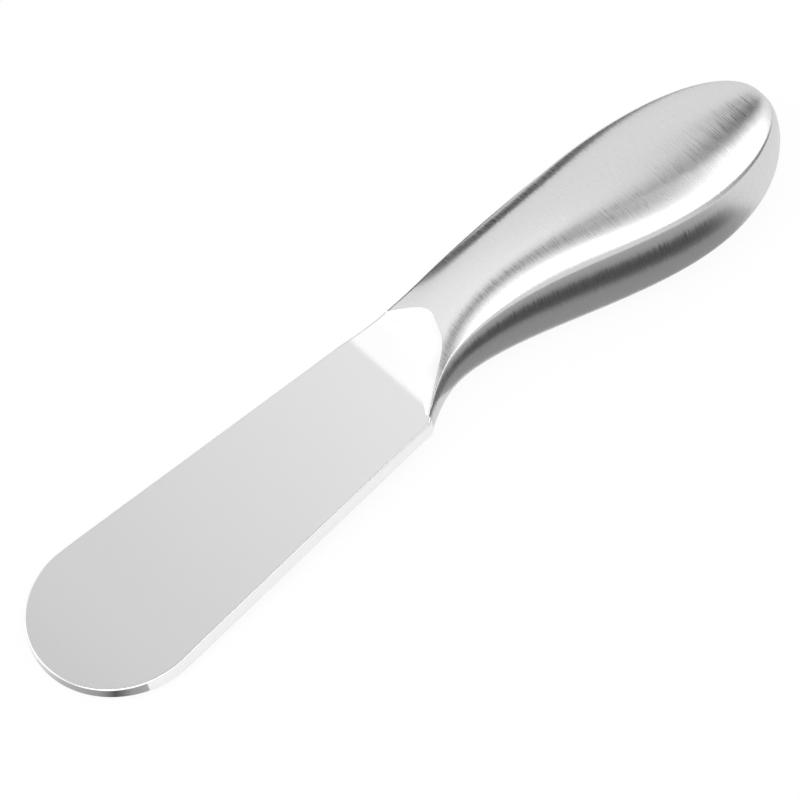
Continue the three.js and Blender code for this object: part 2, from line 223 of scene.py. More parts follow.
# %% Begin and end a material
def linear(hex_colour):
    channels = [int(hex_colour[k : k + 2], 16) / 255 for k in (1, 3, 5)]
    low = [c / 12.92 for c in channels]
    high = [((c + 0.055) / 1.055) ** 2.4 for c in channels]
    return (*[a if c <= 0.04045 else b for c, a, b in zip(channels, low, high)], 1.0)


def empty_material(name):
    material = bpy.data.materials.new(name)
    material.use_nodes = True
    material.node_tree.nodes.clear()
    return material, material.node_tree


def begin_material(name):
    material, tree = empty_material(name)
    place = add(tree, "ShaderNodeTexCoord").outputs["Object"]
    to_drawing = [place, shoulder, (0, TILT, 0), (MM, MM, MM)]
    return material, tree, add(tree, "ShaderNodeMapping", to_drawing, vector_type="TEXTURE")


def end_material(tree, surface):
    add(tree, "ShaderNodeOutputMaterial", [add(tree, "ShaderNodeBsdfPrincipled", surface)])


print("grey #808080 is", round(linear("#808080")[0], 3), "in linear light")

# %% [markdown]
# ## Brushed stainless steel, across the handle
# The handle was brushed on a belt that ran across it. Each grain of the belt left a hair-fine
# groove round the handle, so reflections smear along the handle and stay crisp across it, with
# hairy edges. A bump map of the grooves would need far more samples than a picture has. Instead,
# anisotropy gives the smear: its tangent is the handle's own axis, turned to the world by a node.
# A noise that is narrow along the handle and long across it gives the hairs. Each hair leans the
# surface a little, which frays the reflections' edges. Real grooves are 0.03 mm wide; here they
# are 0.13 mm, about one pixel, or they would not show.

# %% Make the brushed steel
HAIR_WIDTH = 0.13
HAIR_LENGTH = 5.0
HAIR_LEAN = 0.045
HAIR_SLANT = math.radians(3)
BRUSHED_ROUGHNESS = (0.25, 0.33)
BRUSHED_SMEAR = 0.85
NOISE_SPAN = (0.3, 0.7)

brushed_steel, tree, drawing = begin_material("brushed_stainless_steel")
hair_scale = (1 / HAIR_WIDTH, 1 / HAIR_LENGTH, 1 / HAIR_LENGTH)
hair_place = add(tree, "ShaderNodeMapping", [drawing, (0, 0, 0), (0, 0, HAIR_SLANT), hair_scale])
hairs = add(tree, NOISE, {"Vector": hair_place, "Scale": 1.0, "Detail": 2.0, "Roughness": 0.6})
axis = add(
    tree,
    "ShaderNodeVectorTransform",
    [(math.cos(TILT), 0, -math.sin(TILT))],
    vector_type="VECTOR",
    convert_from="OBJECT",
    convert_to="WORLD",
)
normal = add(tree, "ShaderNodeNewGeometry").outputs["Normal"]
across = add(tree, VECTOR, [normal, axis], operation="CROSS_PRODUCT")
lean = add(tree, MAP, [hairs, 0, 1, -HAIR_LEAN, HAIR_LEAN])
leaning = add(tree, VECTOR, {"Vector": across, "Scale": lean}, operation="SCALE")
fraying = add(tree, VECTOR, [normal, leaning], operation="ADD")
brushed_grey = add(tree, MIX, [hairs, linear("#d0d0d0"), linear("#dbdbdb")], data_type="RGBA")
end_material(
    tree,
    {
        "Base Color": brushed_grey,
        "Metallic": 1.0,
        "Roughness": add(tree, MAP, [hairs, *NOISE_SPAN, *BRUSHED_ROUGHNESS]),
        "Normal": add(tree, VECTOR, [fraying], operation="NORMALIZE"),
        "Anisotropic": BRUSHED_SMEAR,
        "Tangent": axis,
    },
)
print(brushed_steel.name, "with hairs", HAIR_WIDTH, "mm wide")

# %% [markdown]
# ## Satin and polished stainless steel, on the blade
# The blade's faces were ground flat and blasted to an even satin. In front of the handle, past the
# soft end of that grind, the metal was polished. Two materials on two sets of faces would meet in
# a hard line, so one material does both: it reads its place along the drawing and goes from satin
# to polished over about a millimetre. The satin's colour is also painted darker towards the tip:
# painted shade along the flat face. The blade's rim is polished too.

# %% Make the blade's steels
GRIND_BLEND = 0.6
GRIT_SIZE = 0.25
SMEAR_SIZE = 10 / 3
SATIN_ROUGHNESS = (0.3, 0.36)
POLISHED_ROUGHNESS = 0.12
RIM_ROUGHNESS = (0.1, 0.16)

satin_steel, tree, drawing = begin_material("satin_ground_stainless_steel")
along_blade = add(tree, SEPARATE, [drawing]).outputs["X"]
grind_end = (GRIND_FROM_SHOULDER - GRIND_BLEND, GRIND_FROM_SHOULDER + GRIND_BLEND)
polish = add(tree, MAP, [along_blade, *grind_end, 0, 1], interpolation_type="SMOOTHSTEP")
# Painted shade: the satin is painted darker towards the tip, as shade along the flat face.
shade_to_tip = add(tree, MAP, [along_blade, -BLADE_LENGTH, 0, 0, 1])
satin = add(tree, MIX, [shade_to_tip, linear("#c2c2c2"), linear("#dcdcdc")], data_type="RGBA")
grit = add(tree, NOISE, {"Vector": drawing, "Scale": 1 / GRIT_SIZE, "Detail": 2.0})
satin_gloss = add(tree, MAP, [grit, *NOISE_SPAN, *SATIN_ROUGHNESS])
end_material(
    tree,
    {
        "Base Color": add(tree, MIX, [polish, satin, linear("#fbfbfb")], data_type="RGBA"),
        "Metallic": 1.0,
        "Roughness": add(tree, MIX, [polish, satin_gloss, POLISHED_ROUGHNESS]),
    },
)

rim_steel, tree, drawing = begin_material("polished_stainless_steel")
smear = add(tree, NOISE, {"Vector": drawing, "Scale": 1 / SMEAR_SIZE, "Detail": 2.0})
rim_grey = add(tree, MIX, [smear, linear("#eeeeee"), linear("#f3f3f3")], data_type="RGBA")
end_material(
    tree,
    {
        "Base Color": rim_grey,
        "Metallic": 1.0,
        "Roughness": add(tree, MAP, [smear, *NOISE_SPAN, *RIM_ROUGHNESS]),
    },
)
print(satin_steel.name, "and", rim_steel.name)

# %% [markdown]
# ## Dressed weld metal and cast resin
# The fillet in front of the handle's mouth is weld metal that was filed hollow and rubbed to a soft
# shine, so only faint ripples are left in its gloss. Inside the handle, a grey epoxy resin filled
# with mineral powder beds the tang. It is hidden, but a part that is cut open shows it. A picture
# of resin would repeat and blur, so its specks are Voronoi cells, one for each grain of filler, and
# its cast skin is a shallow bump.

# %% Make the weld metal and the resin
RIPPLE_SIZE = 5 / 6
WELD_ROUGHNESS = (0.38, 0.46)
FILLER_SIZE = 0.4
SPECK_SPAN = (0.1, 0.5)
SKIN_SIZE = 0.5
SKIN_DEPTH = 0.1
RESIN_ROUGHNESS = 0.7

weld_steel, tree, drawing = begin_material("dressed_stainless_weld")
ripple = add(tree, NOISE, {"Vector": drawing, "Scale": 1 / RIPPLE_SIZE, "Detail": 2.0})
weld_grey = add(tree, MIX, [ripple, linear("#f6f6f6"), linear("#fcfcfc")], data_type="RGBA")
end_material(
    tree,
    {
        "Base Color": weld_grey,
        "Metallic": 1.0,
        "Roughness": add(tree, MAP, [ripple, *NOISE_SPAN, *WELD_ROUGHNESS]),
    },
)

resin, tree, drawing = begin_material("filled_epoxy_resin")
filler = add(tree, "ShaderNodeTexVoronoi", {"Vector": drawing, "Scale": 1 / FILLER_SIZE})
specks = add(tree, MAP, [filler, *SPECK_SPAN, 1, 0])
resin_grey = add(tree, MIX, [specks, linear("#6f6c66"), linear("#8f8b83")], data_type="RGBA")
cast_skin = add(tree, NOISE, {"Vector": drawing, "Scale": 1 / SKIN_SIZE, "Detail": 3.0})
bump_by = {"Strength": 0.3, "Distance": SKIN_DEPTH * MM, "Height": cast_skin}
end_material(
    tree,
    {
        "Base Color": resin_grey,
        "Roughness": RESIN_ROUGHNESS,
        "Normal": add(tree, "ShaderNodeBump", bump_by),
    },
)
tang_resin = frame["nodes"]["tang_resin"]
tang_resin.data.materials.clear()
tang_resin.data.materials.append(resin)
print(weld_steel.name, "and", resin.name)

# %% [markdown]
# ## The laws of the handle's form, as node groups
# The handle has no straight line in it, yet a few rules give its whole shape. Its two edges flare
# at the shoulder, swell like an S and close in quarter ellipses. Its height grows like a sine and
# falls in an ellipse. It could be sculpted, but then no size could be changed later. So each rule
# becomes a small Geometry Nodes group with its sizes as named inputs, which can be opened, tried
# and used again inside the next one.

# %% Begin and end a node tree
SOCKETS = {float: "NodeSocketFloat", int: "NodeSocketInt"}
GROUP = "GeometryNodeGroup"


def begin_tree(name, sizes):
    tree = bpy.data.node_groups.new(name, "GeometryNodeTree")
    for label, size in sizes.items():
        kind = SOCKETS.get(type(size), "NodeSocketMaterial")
        socket = tree.interface.new_socket(label, in_out="INPUT", socket_type=kind)
        socket.default_value = size
    given = tree.nodes.new("NodeGroupInput")
    return tree, {socket.name: socket for socket in given.outputs if socket.name}


def end_tree(tree, label, kind, result):
    tree.interface.new_socket(label, in_out="OUTPUT", socket_type=kind)
    add(tree, "NodeGroupOutput", {label: result})
    print(f"tree '{tree.name}' with {len(tree.nodes)} nodes")
    return tree


# %% The edges in plan
law, size = begin_tree(
    "edge of the handle",
    {
        "Side": 1.0,
        "X": 0.0,
        "Inset": 0.0,
        "Handle length": HANDLE_LENGTH,
        "Neck from shoulder": NECK_FROM_SHOULDER,
        "Shoulder width": SHOULDER_WIDTH,
        "Neck width": NECK_WIDTH,
        "Belly width": BELLY_WIDTH,
        "Neck offset": NECK_OFFSET,
        "Belly offset": BELLY_OFFSET,
        "Spine round": SPINE_ROUND,
        "Belly round": BELLY_ROUND,
    },
)
drawn_in = add(law, MATH, [size["Inset"], -1], operation="MULTIPLY")
offsets = {"Shoulder": 0.0, "Neck": size["Neck offset"], "Belly": size["Belly offset"]}
edge = {}
for where, offset in offsets.items():
    half = add(law, MATH, [size[where + " width"], 0.5, drawn_in], operation="MULTIPLY_ADD")
    edge[where] = add(law, MATH, [size["Side"], half, offset], operation="MULTIPLY_ADD")
round_length = add(law, MAP, [size["Side"], BELLY, SPINE, size["Belly round"], size["Spine round"]])
round_start = add(law, MATH, [size["Handle length"], round_length], operation="SUBTRACT")
round_end = add(law, MATH, [size["Handle length"], size["Inset"]], operation="SUBTRACT")
flare = add(law, MAP, [size["X"], 0, size["Neck from shoulder"], 1, 0])
flare = add(law, MATH, [flare, flare], operation="MULTIPLY")
flare_width = add(law, MATH, [edge["Shoulder"], edge["Neck"]], operation="SUBTRACT")
neck = add(law, MATH, [flare_width, flare, edge["Neck"]], operation="MULTIPLY_ADD")
swell_from = [size["X"], size["Neck from shoulder"], round_start, 0, 1]
swell = add(law, MAP, swell_from, interpolation_type="SMOOTHSTEP")
swell_width = add(law, MATH, [edge["Belly"], edge["Neck"]], operation="SUBTRACT")
body = add(law, MATH, [swell_width, swell, neck], operation="MULTIPLY_ADD")
to_butt = add(law, MAP, [size["X"], round_start, round_end, 0, 1])
to_butt = add(law, MATH, [to_butt, to_butt], operation="MULTIPLY")
closing = add(law, MATH, [1, to_butt], operation="SUBTRACT")
closing = add(law, MATH, [closing, 0.5], operation="POWER")
edge_y = add(law, MAP, [closing, 0, 1, size["Belly offset"], body])
edge_law = end_tree(law, "Y", "NodeSocketFloat", edge_y)

# %% The mouth, an arch cut out of the form
law, size = begin_tree(
    "place along the handle",
    {
        "Station": 0.0,
        "Across": 0.0,
        "Handle length": HANDLE_LENGTH,
        "Rise at spine": RISE_SPINE,
        "Rise at belly": RISE_BELLY,
        "Mouth at spine": MOUTH_SPINE,
        "Mouth at belly": MOUTH_BELLY,
        "Arch": MOUTH_ARCH,
        "Skew": MOUTH_SKEW,
        "Spine fullness": SPINE_FULLNESS,
        "Belly fullness": BELLY_FULLNESS,
    },
)
is_spine = add(law, MATH, [size["Across"], 0], operation="GREATER_THAN")
fullness = add(law, MAP, [is_spine, 0, 1, size["Belly fullness"], size["Spine fullness"]])
from_middle = add(law, MATH, [size["Across"]], operation="ABSOLUTE")
drop = add(law, MATH, [from_middle, fullness], operation="POWER")
arch = add(law, MATH, [1, drop], operation="SUBTRACT")
leaning = add(law, MATH, [size["Skew"], size["Across"], 1], operation="MULTIPLY_ADD")
arch = add(law, MATH, [arch, leaning], operation="MULTIPLY")
feet = add(law, MAP, [size["Across"], BELLY, SPINE, size["Mouth at belly"], size["Mouth at spine"]])
mouth = add(law, MATH, [arch, size["Arch"], feet], operation="MULTIPLY_ADD")
start = add(law, MAP, [size["Across"], BELLY, SPINE, size["Rise at belly"], size["Rise at spine"]])
cut = add(law, MAP, [mouth, start, size["Handle length"], 0, 1])
along = add(law, MAP, [size["Station"], 0, 1, cut, 1])
along_law = end_tree(law, "Along", "NodeSocketFloat", along)


def mix(a, b, share):
    return a + (b - a) * share


def mouth_x(across):
    fullness = SPINE_FULLNESS if across > 0 else BELLY_FULLNESS
    arch = MOUTH_ARCH * (1 - abs(across) ** fullness) * (1 + MOUTH_SKEW * across)
    return mix(MOUTH_BELLY, MOUTH_SPINE, (across + 1) / 2) + arch


PEAK_STEPS = 100
peak_tries = [k / PEAK_STEPS for k in range(-PEAK_STEPS, PEAK_STEPS + 1)]
ARCH_PEAK = max(peak_tries, key=mouth_x)
ARCH_TOP = mouth_x(ARCH_PEAK)
PLATE_END = ARCH_TOP + PLATE_UNDERLAP
print(f"the arch reaches {ARCH_TOP:.2f} mm past the shoulder")

# %% The plate's hollow ramp, and the heights along the handle
DEEPEST_ALONG = 1 - DEEPEST_FROM_BUTT / (HANDLE_LENGTH - (RISE_SPINE + RISE_BELLY) / 2)

law, size = begin_tree(
    "height of the plate",
    {"X": 0.0, "Blade half": BLADE_THICKNESS / 2, "Rise": RAMP_RISE, "Power": RAMP_POWER},
)
on_ramp = add(law, MAP, [size["X"], GRIND_FROM_SHOULDER, ARCH_TOP, 0, 1])
climbed = add(law, MATH, [on_ramp, size["Power"]], operation="POWER")
ramp = add(law, MATH, [climbed, size["Rise"], size["Blade half"]], operation="MULTIPLY_ADD")
plate_law = end_tree(law, "Z", "NodeSocketFloat", ramp)

law, size = begin_tree(
    "height along the handle",
    {"Along": 0.0, "At start": 0.0, "At deepest": 0.0, "At butt": 0.0, "Deepest": DEEPEST_ALONG},
)
rising = add(law, MAP, [size["Along"], 0, size["Deepest"], 0, math.pi / 2])
rising = add(law, MATH, [rising], operation="SINE")
falling = add(law, MAP, [size["Along"], size["Deepest"], 1, 0, 1])
falling = add(law, MATH, [falling, falling], operation="MULTIPLY")
falling = add(law, MATH, [1, falling], operation="SUBTRACT")
falling = add(law, MATH, [falling, 0.5], operation="POWER")
from_start = add(law, MAP, [rising, 0, 1, size["At start"], size["At deepest"]])
to_deepest = add(law, MATH, [size["At deepest"], size["At butt"]], operation="SUBTRACT")
butt_loss = add(law, MATH, [falling, 1], operation="SUBTRACT")
height = add(law, MATH, [to_deepest, butt_loss, from_start], operation="MULTIPLY_ADD")
height_law = end_tree(law, "Z", "NodeSocketFloat", height)

law, size = begin_tree(
    "height of the creases",
    {"Along": 0.0, "Wall at start": RISE_WALL, "Wall": WALL_HEIGHT, "Wall at butt": BUTT_WALL},
)
start = add(law, MATH, [size["Wall at start"], 0.5], operation="MULTIPLY")
deepest = add(law, MATH, [size["Wall"], 0.5], operation="MULTIPLY")
butt = add(law, MATH, [size["Wall at butt"], 0.5], operation="MULTIPLY")
heights = {"Along": size["Along"], "At start": start, "At deepest": deepest, "At butt": butt}
crease = add(law, GROUP, heights, node_tree=height_law)
crease_law = end_tree(law, "Z", "NodeSocketFloat", crease)

law, size = begin_tree(
    "tuck of the wall",
    {"Along": 0.0, "At mouth": MOUTH_TUCK, "Beyond": WALL_TUCK, "Grows over": TUCK_GROWS},
)
grown = [size["Along"], 0, size["Grows over"], size["At mouth"], size["Beyond"]]
tuck = add(law, MAP, grown, interpolation_type="SMOOTHSTEP")
tuck_law = end_tree(law, "Tuck", "NodeSocketFloat", tuck)

# %% [markdown]
# ## Points of the skin
# With those rules, a point of the handle's skin is found from two numbers: how far along the
# handle, and how far round its section. A section goes up one side wall, turns over the crease,
# crosses the crowned face and comes down the other wall. The crease is turned in a small Bezier
# arc between the wall and the face, because pressed steel has no knife edges. A Bevel modifier
# would round it too, but its width would not shrink with the wall towards the mouth.

# %% A point at the foot of the wall, and the lowest height of the inner skin
law, size = begin_tree("foot of the wall", {"Along": 0.0, "Side": 1.0, "Inset": 0.0})
start = add(law, MAP, [size["Side"], BELLY, SPINE, RISE_BELLY, RISE_SPINE])
end = add(law, MATH, [HANDLE_LENGTH, size["Inset"]], operation="SUBTRACT")
foot_x = add(law, MAP, [size["Along"], 0, 1, start, end])
foot_at = {"Side": size["Side"], "X": foot_x, "Inset": size["Inset"]}
foot_y = add(law, GROUP, foot_at, node_tree=edge_law)
foot_law = end_tree(law, "Place", "NodeSocketVector", add(law, COMBINE, [foot_x, foot_y, 0]))

law, size = begin_tree(
    "inside height",
    {"X": 0.0, "Z": 0.0, "Inset": 0.0, "Clearance": LIP_CLEARANCE, "Thinnest": LIP_THICKNESS},
)
plate = add(law, GROUP, {"X": size["X"]}, node_tree=plate_law)
above = add(law, MATH, [plate, size["Clearance"]], operation="ADD")
is_plate = add(law, MATH, [size["X"], PLATE_END + TONGUE_BEYOND], operation="LESS_THAN")
floor = add(law, MAP, [is_plate, 0, 1, SEAM_HALF, above])
thinned = add(law, MATH, [size["Z"], size["Thinnest"]], operation="SUBTRACT")
floor = add(law, MATH, [floor, thinned], operation="MINIMUM")
inside = add(law, MATH, [size["Z"], size["Inset"]], operation="SUBTRACT")
inside = add(law, MATH, [inside, floor], operation="MAXIMUM")
inside_law = end_tree(law, "Z", "NodeSocketFloat", inside)

# %% A point on the side wall
law, size = begin_tree("point on the wall", {"Station": 0.0, "Up": 0.0, "Side": 1.0, "Inset": 0.0})
along_at = {"Station": size["Station"], "Across": size["Side"]}
along = add(law, GROUP, along_at, node_tree=along_law)
tuck = add(law, GROUP, {"Along": along}, node_tree=tuck_law)
up_squared = add(law, MATH, [size["Up"], size["Up"]], operation="MULTIPLY")
tucked = add(law, MATH, [tuck, up_squared, size["Inset"]], operation="MULTIPLY_ADD")
foot_at = {"Along": along, "Side": size["Side"], "Inset": tucked}
foot = add(law, SEPARATE, [add(law, GROUP, foot_at, node_tree=foot_law)])
crease = add(law, GROUP, {"Along": along}, node_tree=crease_law)
inside_at = {"X": foot.outputs["X"], "Z": crease, "Inset": size["Inset"]}
crease = add(law, GROUP, inside_at, node_tree=inside_law)
wall_z = add(law, MAP, [size["Up"], 0, 1, SEAM_HALF, crease])
wall = add(law, COMBINE, [foot.outputs["X"], foot.outputs["Y"], wall_z])
wall_law = end_tree(law, "Place", "NodeSocketVector", wall)

# %% A point on the crowned face
law, size = begin_tree(
    "point on the crown",
    {"Station": 0.0, "Across": 0.0, "Inset": 0.0, "Crown": CROWN, "Power": CROWN_POWER},
)
along_at = {"Station": size["Station"], "Across": size["Across"]}
along = add(law, GROUP, along_at, node_tree=along_law)
tuck = add(law, GROUP, {"Along": along}, node_tree=tuck_law)
tucked = add(law, MATH, [size["Inset"], tuck], operation="ADD")
feet = []
for side in (BELLY, SPINE):
    foot_at = {"Along": along, "Side": side, "Inset": tucked}
    feet.append(add(law, GROUP, foot_at, node_tree=foot_law))
share = add(law, MAP, [size["Across"], BELLY, SPINE, 0, 1])
plan = add(law, SEPARATE, [add(law, MIX, [share, *feet], data_type="VECTOR")])
crease = add(law, GROUP, {"Along": along}, node_tree=crease_law)
crown = add(law, GROUP, {"Along": along, "At deepest": size["Crown"]}, node_tree=height_law)
from_middle = add(law, MATH, [size["Across"]], operation="ABSOLUTE")
drop = add(law, MATH, [from_middle, size["Power"]], operation="POWER")
bulge = add(law, MATH, [1, drop], operation="SUBTRACT")
crown_z = add(law, MATH, [crown, bulge, crease], operation="MULTIPLY_ADD")
inside_at = {"X": plan.outputs["X"], "Z": crown_z, "Inset": size["Inset"]}
crown_z = add(law, GROUP, inside_at, node_tree=inside_law)
crown_place = add(law, COMBINE, [plan.outputs["X"], plan.outputs["Y"], crown_z])
crown_law = end_tree(law, "Place", "NodeSocketVector", crown_place)

# %% A point of the whole section
WALL_ROWS = 10
CREASE_ROWS = 6
CROWN_ROWS = 64
CREASE_ON_WALL = 0.1
CREASE_ON_CROWN = 0.05

law, size = begin_tree(
    "point of the section",
    {
        "Station": 0.0,
        "Round": 0.0,
        "Inset": 0.0,
        "Wall rows": WALL_ROWS,
        "Crease rows": CREASE_ROWS,
        "Crown rows": CROWN_ROWS,
    },
)
wall_end = add(law, MATH, [size["Wall rows"], size["Crease rows"]], operation="ADD")
middle = add(law, MATH, [size["Crown rows"], 0.5, wall_end], operation="MULTIPLY_ADD")
last = add(law, MATH, [middle, -1], operation="MULTIPLY")
row = add(law, MAP, [size["Round"], 0, 1, middle, last])
side = add(law, MATH, [row], operation="SIGN")
from_rim = add(law, MATH, [row], operation="ABSOLUTE")
from_rim = add(law, MATH, [middle, from_rim], operation="SUBTRACT")
up = add(law, MAP, [from_rim, 0, size["Wall rows"], 0, 1 - CREASE_ON_WALL])
turned = add(law, MAP, [from_rim, size["Wall rows"], wall_end, 0, 1])
across = add(law, MAP, [from_rim, wall_end, middle, 1 - CREASE_ON_CROWN, 0])
across = add(law, MATH, [across, side], operation="MULTIPLY")
common = {"Station": size["Station"], "Inset": size["Inset"]}
wall = add(law, GROUP, {**common, "Up": up, "Side": side}, node_tree=wall_law)
corner = add(law, GROUP, {**common, "Up": 1.0, "Side": side}, node_tree=wall_law)
crown = add(law, GROUP, {**common, "Across": across}, node_tree=crown_law)
to_corner = add(law, MIX, [turned, wall, corner], data_type="VECTOR")
from_corner = add(law, MIX, [turned, corner, crown], data_type="VECTOR")
section = add(law, MIX, [turned, to_corner, from_corner], data_type="VECTOR")
section_law = end_tree(law, "Place", "NodeSocketVector", section)

# %% [markdown]
# ## The half shells
# The handle is two pressed halves. A half shell is an outer skin, an inner skin, two rims on the
# seam and the edge of the mouth. A surface with Solidify would give it a wall, but not rims that
# lie flat on the mid plane. So each of the five is a plain grid whose points are sent to the
# section's places, and all are joined and merged into one closed mesh. Towards the mouth the wall
# is dressed thin, so that its lip lies close over the plate. The lower half is the upper one
# mirrored in the mid plane, so its faces are turned over. Stations gather towards the butt, which
# turns fastest.

# %% Join, mirror and lay down a form
GRID, MOVE = "GeometryNodeMeshGrid", "GeometryNodeSetPosition"
JOIN, FLIP = "GeometryNodeJoinGeometry", "GeometryNodeFlipFaces"
MERGE_DISTANCE = 0.002
SHARP_ANGLE = math.radians(40)


def finish_form(tree, size, parts):
    joined = tree.nodes.new(JOIN)
    for part in parts:
        tree.links.new(part.outputs[0], joined.inputs[0])
    near = {"Geometry": joined, "Distance": MERGE_DISTANCE}
    merged = add(tree, "GeometryNodeMergeByDistance", near)
    mirror = add(tree, COMBINE, [1, 1, size["Mirror"]])
    mirrored = add(tree, "GeometryNodeTransform", {"Geometry": merged, "Scale": mirror})
    is_lower = add(tree, MATH, [size["Mirror"], 0], operation="LESS_THAN")
    outward = add(tree, FLIP, {"Mesh": mirrored, "Selection": is_lower})
    placing = {"Translation": shoulder, "Rotation": (0, TILT, 0), "Scale": (MM, MM, MM)}
    placed = add(tree, "GeometryNodeTransform", {"Geometry": outward, **placing})
    angle = add(tree, "GeometryNodeInputMeshEdgeAngle")
    is_soft = add(tree, MATH, [angle, SHARP_ANGLE], operation="LESS_THAN")
    smooth = add(tree, "GeometryNodeSetShadeSmooth", {"Geometry": placed})
    softened = {"Geometry": smooth, "Shade Smooth": is_soft}
    shaded = add(tree, "GeometryNodeSetShadeSmooth", softened, domain="EDGE")
    real = add(tree, "GeometryNodeRealizeInstances", [shaded])
    clad = add(tree, "GeometryNodeSetMaterial", {"Geometry": real, "Material": size["Steel"]})
    return end_tree(tree, "Geometry", "NodeSocketGeometry", clad)


print(f"edges under {math.degrees(SHARP_ANGLE):.0f} degrees are shaded smooth")

# %% The half shell as a tree
STATIONS = 140
DRESSED_LIP = 0.15
DRESSED_END = 0.06

tree, size = begin_tree(
    "half shell",
    {
        "Stations": STATIONS,
        "Rows": 2 * (WALL_ROWS + CREASE_ROWS) + CROWN_ROWS,
        "Thickness": SHELL_THICKNESS,
        "Lip": DRESSED_LIP,
        "Lip end": DRESSED_END,
        "Mirror": 1.0,
        "Steel": brushed_steel,
    },
)
stations = add(tree, MATH, [size["Stations"], 1], operation="ADD")
rows = add(tree, MATH, [size["Rows"], 1], operation="ADD")


def skin(vertices, place_on_grid, turned_over):
    grid = add(tree, GRID, [1, 1, *vertices])
    u_v = add(tree, SEPARATE, [grid.outputs["UV Map"]])
    place = add(tree, GROUP, place_on_grid(u_v.outputs[0], u_v.outputs[1]), node_tree=section_law)
    moved = add(tree, MOVE, {"Geometry": grid, "Position": place})
    return add(tree, FLIP, {"Mesh": moved, "Selection": turned_over})


def station(u):
    angle = add(tree, MATH, [u, math.pi / 2], operation="MULTIPLY")
    return add(tree, MATH, [angle], operation="SINE")


def inset(u, share):
    grown = [station(u), 0, size["Lip end"], size["Lip"], size["Thickness"]]
    thickness = add(tree, MAP, grown, interpolation_type="SMOOTHSTEP")
    return add(tree, MATH, [thickness, share], operation="MULTIPLY")


def section_at(u, around, share):
    return {"Station": station(u), "Round": around, "Inset": inset(u, share)}


parts = [
    skin([stations, rows], lambda u, v: section_at(u, v, 0.0), True),
    skin([stations, rows], lambda u, v: section_at(u, v, 1.0), False),
    skin([2, rows], lambda u, v: section_at(0.0, v, u), False),
    skin([stations, 2], lambda u, v: section_at(u, 0.0, v), False),
    skin([stations, 2], lambda u, v: section_at(u, 1.0, v), True),
]
half_shell = finish_form(tree, size, parts)

# %% Grow a plain mesh from a tree
def grow(name, tree, sizes):
    piece = bpy.data.objects.new(name, bpy.data.meshes.new(name + "_seed"))
    bpy.context.collection.objects.link(piece)
    modifier = piece.modifiers.new("form", "NODES")
    modifier.node_group = tree
    for item in tree.interface.items_tree:
        if item.name in sizes:
            modifier[item.identifier] = sizes[item.name]
    evaluated = piece.evaluated_get(bpy.context.evaluated_depsgraph_get())
    mesh = bpy.data.meshes.new_from_object(evaluated)
    piece.modifiers.remove(modifier)
    piece.data = mesh
    mesh.name = name
    return piece


def measure(piece):
    form = bmesh.new()
    form.from_mesh(piece.data)
    open_edges = sum(not edge.is_manifold for edge in form.edges)
    volume = form.calc_volume(signed=True) / MM**3
    form.free()
    faces = len(piece.data.polygons)
    print(f"{piece.name}: {faces} faces, {volume:.1f} mm3, {open_edges} open edges")


def put_on(piece, node):
    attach(piece, "root")
    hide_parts(node)
    measure(piece)


for half, mirror in (("upper", 1.0), ("lower", -1.0)):
    shell = grow(f"pressed_{half}_shell", half_shell, {"Mirror": mirror})
    put_on(shell, f"handle_{half}_shell")

# %% [markdown]
# ## The seam weld
# A bead of weld joins the two rims, from one foot of the mouth round the butt to the other. It was
# ground flush and brushed with the handle, so it doesn't show, but the halves would not hold
# without it. A curve with a square profile would twist on the way round. So the bead is one long
# grid that is rolled into a square tube and follows the same rule as the rims, with a lid at each
# end.

# %% The seam weld as a tree
CORNER_SPLIT = (0.9, 1.1)

tree, size = begin_tree(
    "seam weld",
    {
        "Steps": 2 * STATIONS,
        "Half width": SEAM_HALF,
        "Thickness": SHELL_THICKNESS,
        "Mirror": 1.0,
        "Steel": brushed_steel,
    },
)
steps = add(tree, MATH, [size["Steps"], 1], operation="ADD")


def bead(vertices, turned_over, way_round):
    grid = add(tree, GRID, [1, 1, *vertices])
    u_v = add(tree, SEPARATE, [grid.outputs["UV Map"]])
    path, inward, up = way_round(u_v.outputs[0], u_v.outputs[1])
    way = add(tree, MAP, [path, 0, 1, SPINE, BELLY])
    side = add(tree, MATH, [way], operation="SIGN")
    to_butt = add(tree, MATH, [way], operation="ABSOLUTE")
    station = add(tree, MATH, [add(tree, MAP, [to_butt, 0, 1, math.pi / 2, 0])], operation="SINE")
    inset = add(tree, MATH, [inward, size["Thickness"]], operation="MULTIPLY")
    along = add(tree, GROUP, {"Station": station, "Across": side}, node_tree=along_law)
    foot_at = {"Along": along, "Side": side, "Inset": inset}
    foot = add(tree, SEPARATE, [add(tree, GROUP, foot_at, node_tree=foot_law)])
    bead_z = add(tree, MATH, [up, size["Half width"]], operation="MULTIPLY")
    place = add(tree, COMBINE, [foot.outputs["X"], foot.outputs["Y"], bead_z])
    moved = add(tree, MOVE, {"Geometry": grid, "Position": place})
    return add(tree, FLIP, {"Mesh": moved, "Selection": turned_over})


# Round the tube, corner k lies at v = k / 4. The two corners half a step from the middle get the
# first value, and the others get the second.
def at_two_corners(v, middle, value, other):
    corner = add(tree, MATH, [v, 4, -middle], operation="MULTIPLY_ADD")
    corner = add(tree, MATH, [corner], operation="ABSOLUTE")
    return add(tree, MAP, [corner, *CORNER_SPLIT, value, other])


def up_and_down(v):
    return add(tree, MAP, [v, 0, 1, -1, 1])


def round_the_tube(u, v):
    return u, at_two_corners(v, 2.5, 1, 0), at_two_corners(v, 1.5, 1, -1)


parts = [
    bead([steps, 5], True, round_the_tube),
    bead([2, 2], False, lambda u, v: (0, u, up_and_down(v))),
    bead([2, 2], True, lambda u, v: (1, u, up_and_down(v))),
]
seam_weld = grow("flush_seam_weld", finish_form(tree, size, parts), {})
put_on(seam_weld, "handle_seam_weld")

